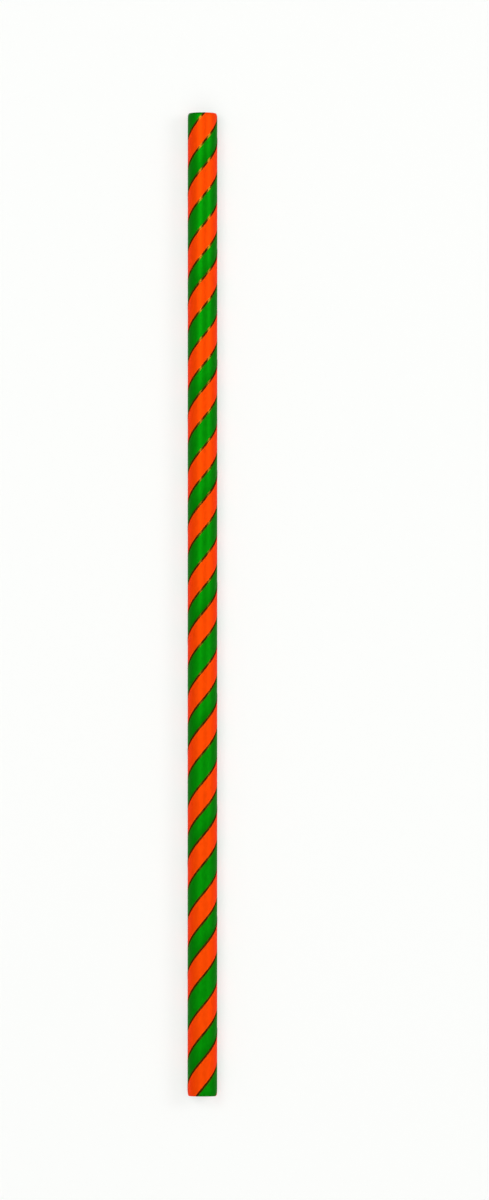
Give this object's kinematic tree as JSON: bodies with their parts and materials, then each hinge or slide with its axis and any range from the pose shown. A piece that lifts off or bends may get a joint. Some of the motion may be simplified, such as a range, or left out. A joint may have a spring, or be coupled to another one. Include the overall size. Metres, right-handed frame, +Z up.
{
  "type": "paper drinking straw",
  "caption": "Straight paper drinking straw: a thin-walled tube wound from paper strips, with orange and green stripes running round it in a spiral.",
  "frame": {"origin": "on the ground under the middle of the straw, which lies on its side", "axes": "+Y along the straw, +Z up from the surface it lies on"},
  "size_m": [0.006, 0.197, 0.006],
  "materials": {
    "bare_paper": "uncoated white kraft paper, wound in plies and glued",
    "orange_print": "smooth paper with a vivid orange printed stripe, faint sheen",
    "green_print": "smooth paper with a vivid green printed stripe, faint sheen"
  },
  "bodies": {
    "root": {"paper_tube": "bare_paper", "orange_stripe_1": "orange_print", "green_stripe_1": "green_print", "orange_stripe_2": "orange_print", "green_stripe_2": "green_print"}
  },
  "joints": []
}
